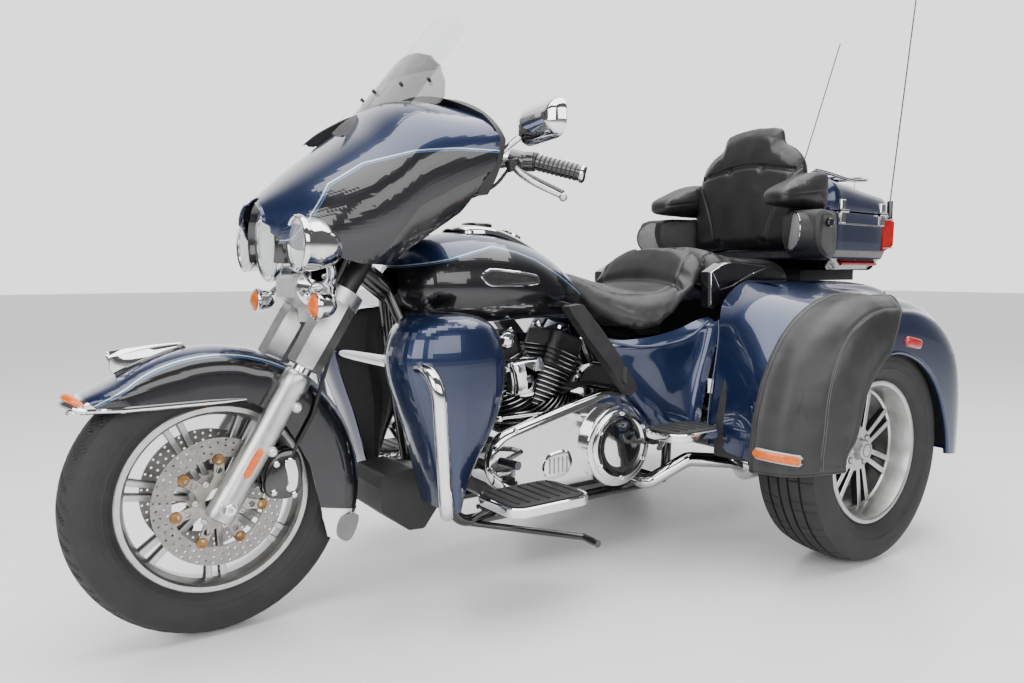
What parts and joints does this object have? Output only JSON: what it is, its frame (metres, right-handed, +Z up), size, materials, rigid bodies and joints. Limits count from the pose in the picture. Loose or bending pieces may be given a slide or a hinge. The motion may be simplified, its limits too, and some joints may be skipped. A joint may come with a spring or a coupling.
{
  "type": "touring motor trike",
  "caption": "Three-wheeled touring motorcycle with a steered front fork and fairing, V-twin engine, padded seats, lidded top case and a trunk between two wide rear wheels.",
  "frame": {"origin": "on the ground at the centre of the whole outline, whip aerials included", "axes": "+X forward, +Y to the rider's left, +Z up; the wheels turn about Y"},
  "size_m": [3.0956, 1.4028, 1.8905],
  "materials": {
    "blue_paint": "gloss metallic dark blue",
    "black_steel": "gloss black",
    "black_casting": "satin black",
    "chrome": "polished",
    "aluminium": "satin cast and machined",
    "disc_steel": "ground",
    "black_plastic": "satin",
    "leather": "black grained",
    "vinyl": "black grained vinyl",
    "rubber": "matt",
    "tyre": "matt",
    "red_lens": "clear red",
    "tinted_screen": "smoke tint",
    "clear_screen": "clear"
  },
  "bodies": {
    "chassis": {"frame": "black_steel", "rear_suspension": "black_steel", "crankcase": "black_casting", "front_cylinder": "black_casting", "rear_cylinder": "black_casting", "primary_cover": "chrome", "air_cleaner": "chrome", "horn_cover": "chrome", "exhaust": "chrome", "fuel_tank": "blue_paint", "tank_console": "chrome", "engine_guard": "chrome", "leg_shields": "blue_paint", "coolant_box": "black_plastic", "rear_body": "blue_paint", "fender_covers": "vinyl", "side_covers": "black_plastic", "rider_seat": "leather", "pillion_seat": "leather", "topcase_base": "blue_paint", "speaker_pods": "black_plastic", "backrest": "leather", "rear_lamps": "red_lens", "aerials": "black_steel", "pedals": "black_steel"},
    "fork": {"fork_legs": "aluminium", "fork_yokes": "aluminium", "front_lamps": "chrome", "front_calipers": "black_casting", "front_fender": "blue_paint", "fairing": "blue_paint", "inner_fairing": "black_plastic", "windscreen": "tinted_screen", "screen_extension": "clear_screen", "handlebar": "black_steel", "mirrors": "chrome", "brake_hoses": "rubber"},
    "front_wheel": {"front_tyre": "tyre", "front_rim": "aluminium", "front_discs": "disc_steel"},
    "rear_wheel_left": {"rear_tyre_left": "tyre", "rear_rim_left": "aluminium"},
    "rear_wheel_right": {"rear_tyre_right": "tyre", "rear_rim_right": "aluminium"},
    "lid": {"topcase_lid": "blue_paint", "luggage_rack": "chrome"},
    "door": {"trunk_door": "blue_paint"},
    "rider_board_left": {"rider_board_left": "rubber"},
    "rider_board_right": {"rider_board_right": "rubber"},
    "passenger_board_left": {"passenger_board_left": "rubber"},
    "passenger_board_right": {"passenger_board_right": "rubber"}
  },
  "joints": [
    {"name": "steering", "type": "hinge", "parent": "chassis", "child": "fork", "pos_m": [0.90462, 0, 0.87], "axis": [-0.4384, 0, 0.8988], "range_deg": [-30, 30]},
    {"name": "front_wheel_spin", "type": "hinge", "parent": "fork", "child": "front_wheel", "pos_m": [1.22995, 0, 0.318], "axis": [0, 1, 0], "continuous": true},
    {"name": "rear_left_wheel_spin", "type": "hinge", "parent": "chassis", "child": "rear_wheel_left", "pos_m": [-0.44005, 0.575, 0.32], "axis": [0, 1, 0], "continuous": true},
    {"name": "rear_right_wheel_spin", "type": "hinge", "parent": "chassis", "child": "rear_wheel_right", "pos_m": [-0.44005, -0.575, 0.32], "axis": [0, 1, 0], "continuous": true},
    {"name": "topcase_lid_hinge", "type": "hinge", "parent": "chassis", "child": "lid", "pos_m": [-0.81005, 0.29288, 1.0425], "axis": [-0.9959, -0.0909, 0], "range_deg": [0, 70]},
    {"name": "trunk_door_hinge", "type": "hinge", "parent": "chassis", "child": "door", "pos_m": [-1.10806, 0.322, 0.58], "axis": [0, 0, -1], "range_deg": [0, 95]},
    {"name": "rider_board_left_hinge", "type": "hinge", "parent": "chassis", "child": "rider_board_left", "pos_m": [0.55495, 0.258, 0.254], "axis": [1, 0, 0], "range_deg": [0, 30]},
    {"name": "passenger_board_left_hinge", "type": "hinge", "parent": "chassis", "child": "passenger_board_left", "pos_m": [0.06144, 0.312, 0.366], "axis": [1, 0, 0], "range_deg": [0, 80]},
    {"name": "rider_board_right_hinge", "type": "hinge", "parent": "chassis", "child": "rider_board_right", "pos_m": [0.55495, -0.258, 0.254], "axis": [-1, 0, 0], "range_deg": [0, 30]},
    {"name": "passenger_board_right_hinge", "type": "hinge", "parent": "chassis", "child": "passenger_board_right", "pos_m": [0.06144, -0.312, 0.366], "axis": [-1, 0, 0], "range_deg": [0, 80]}
  ]
}
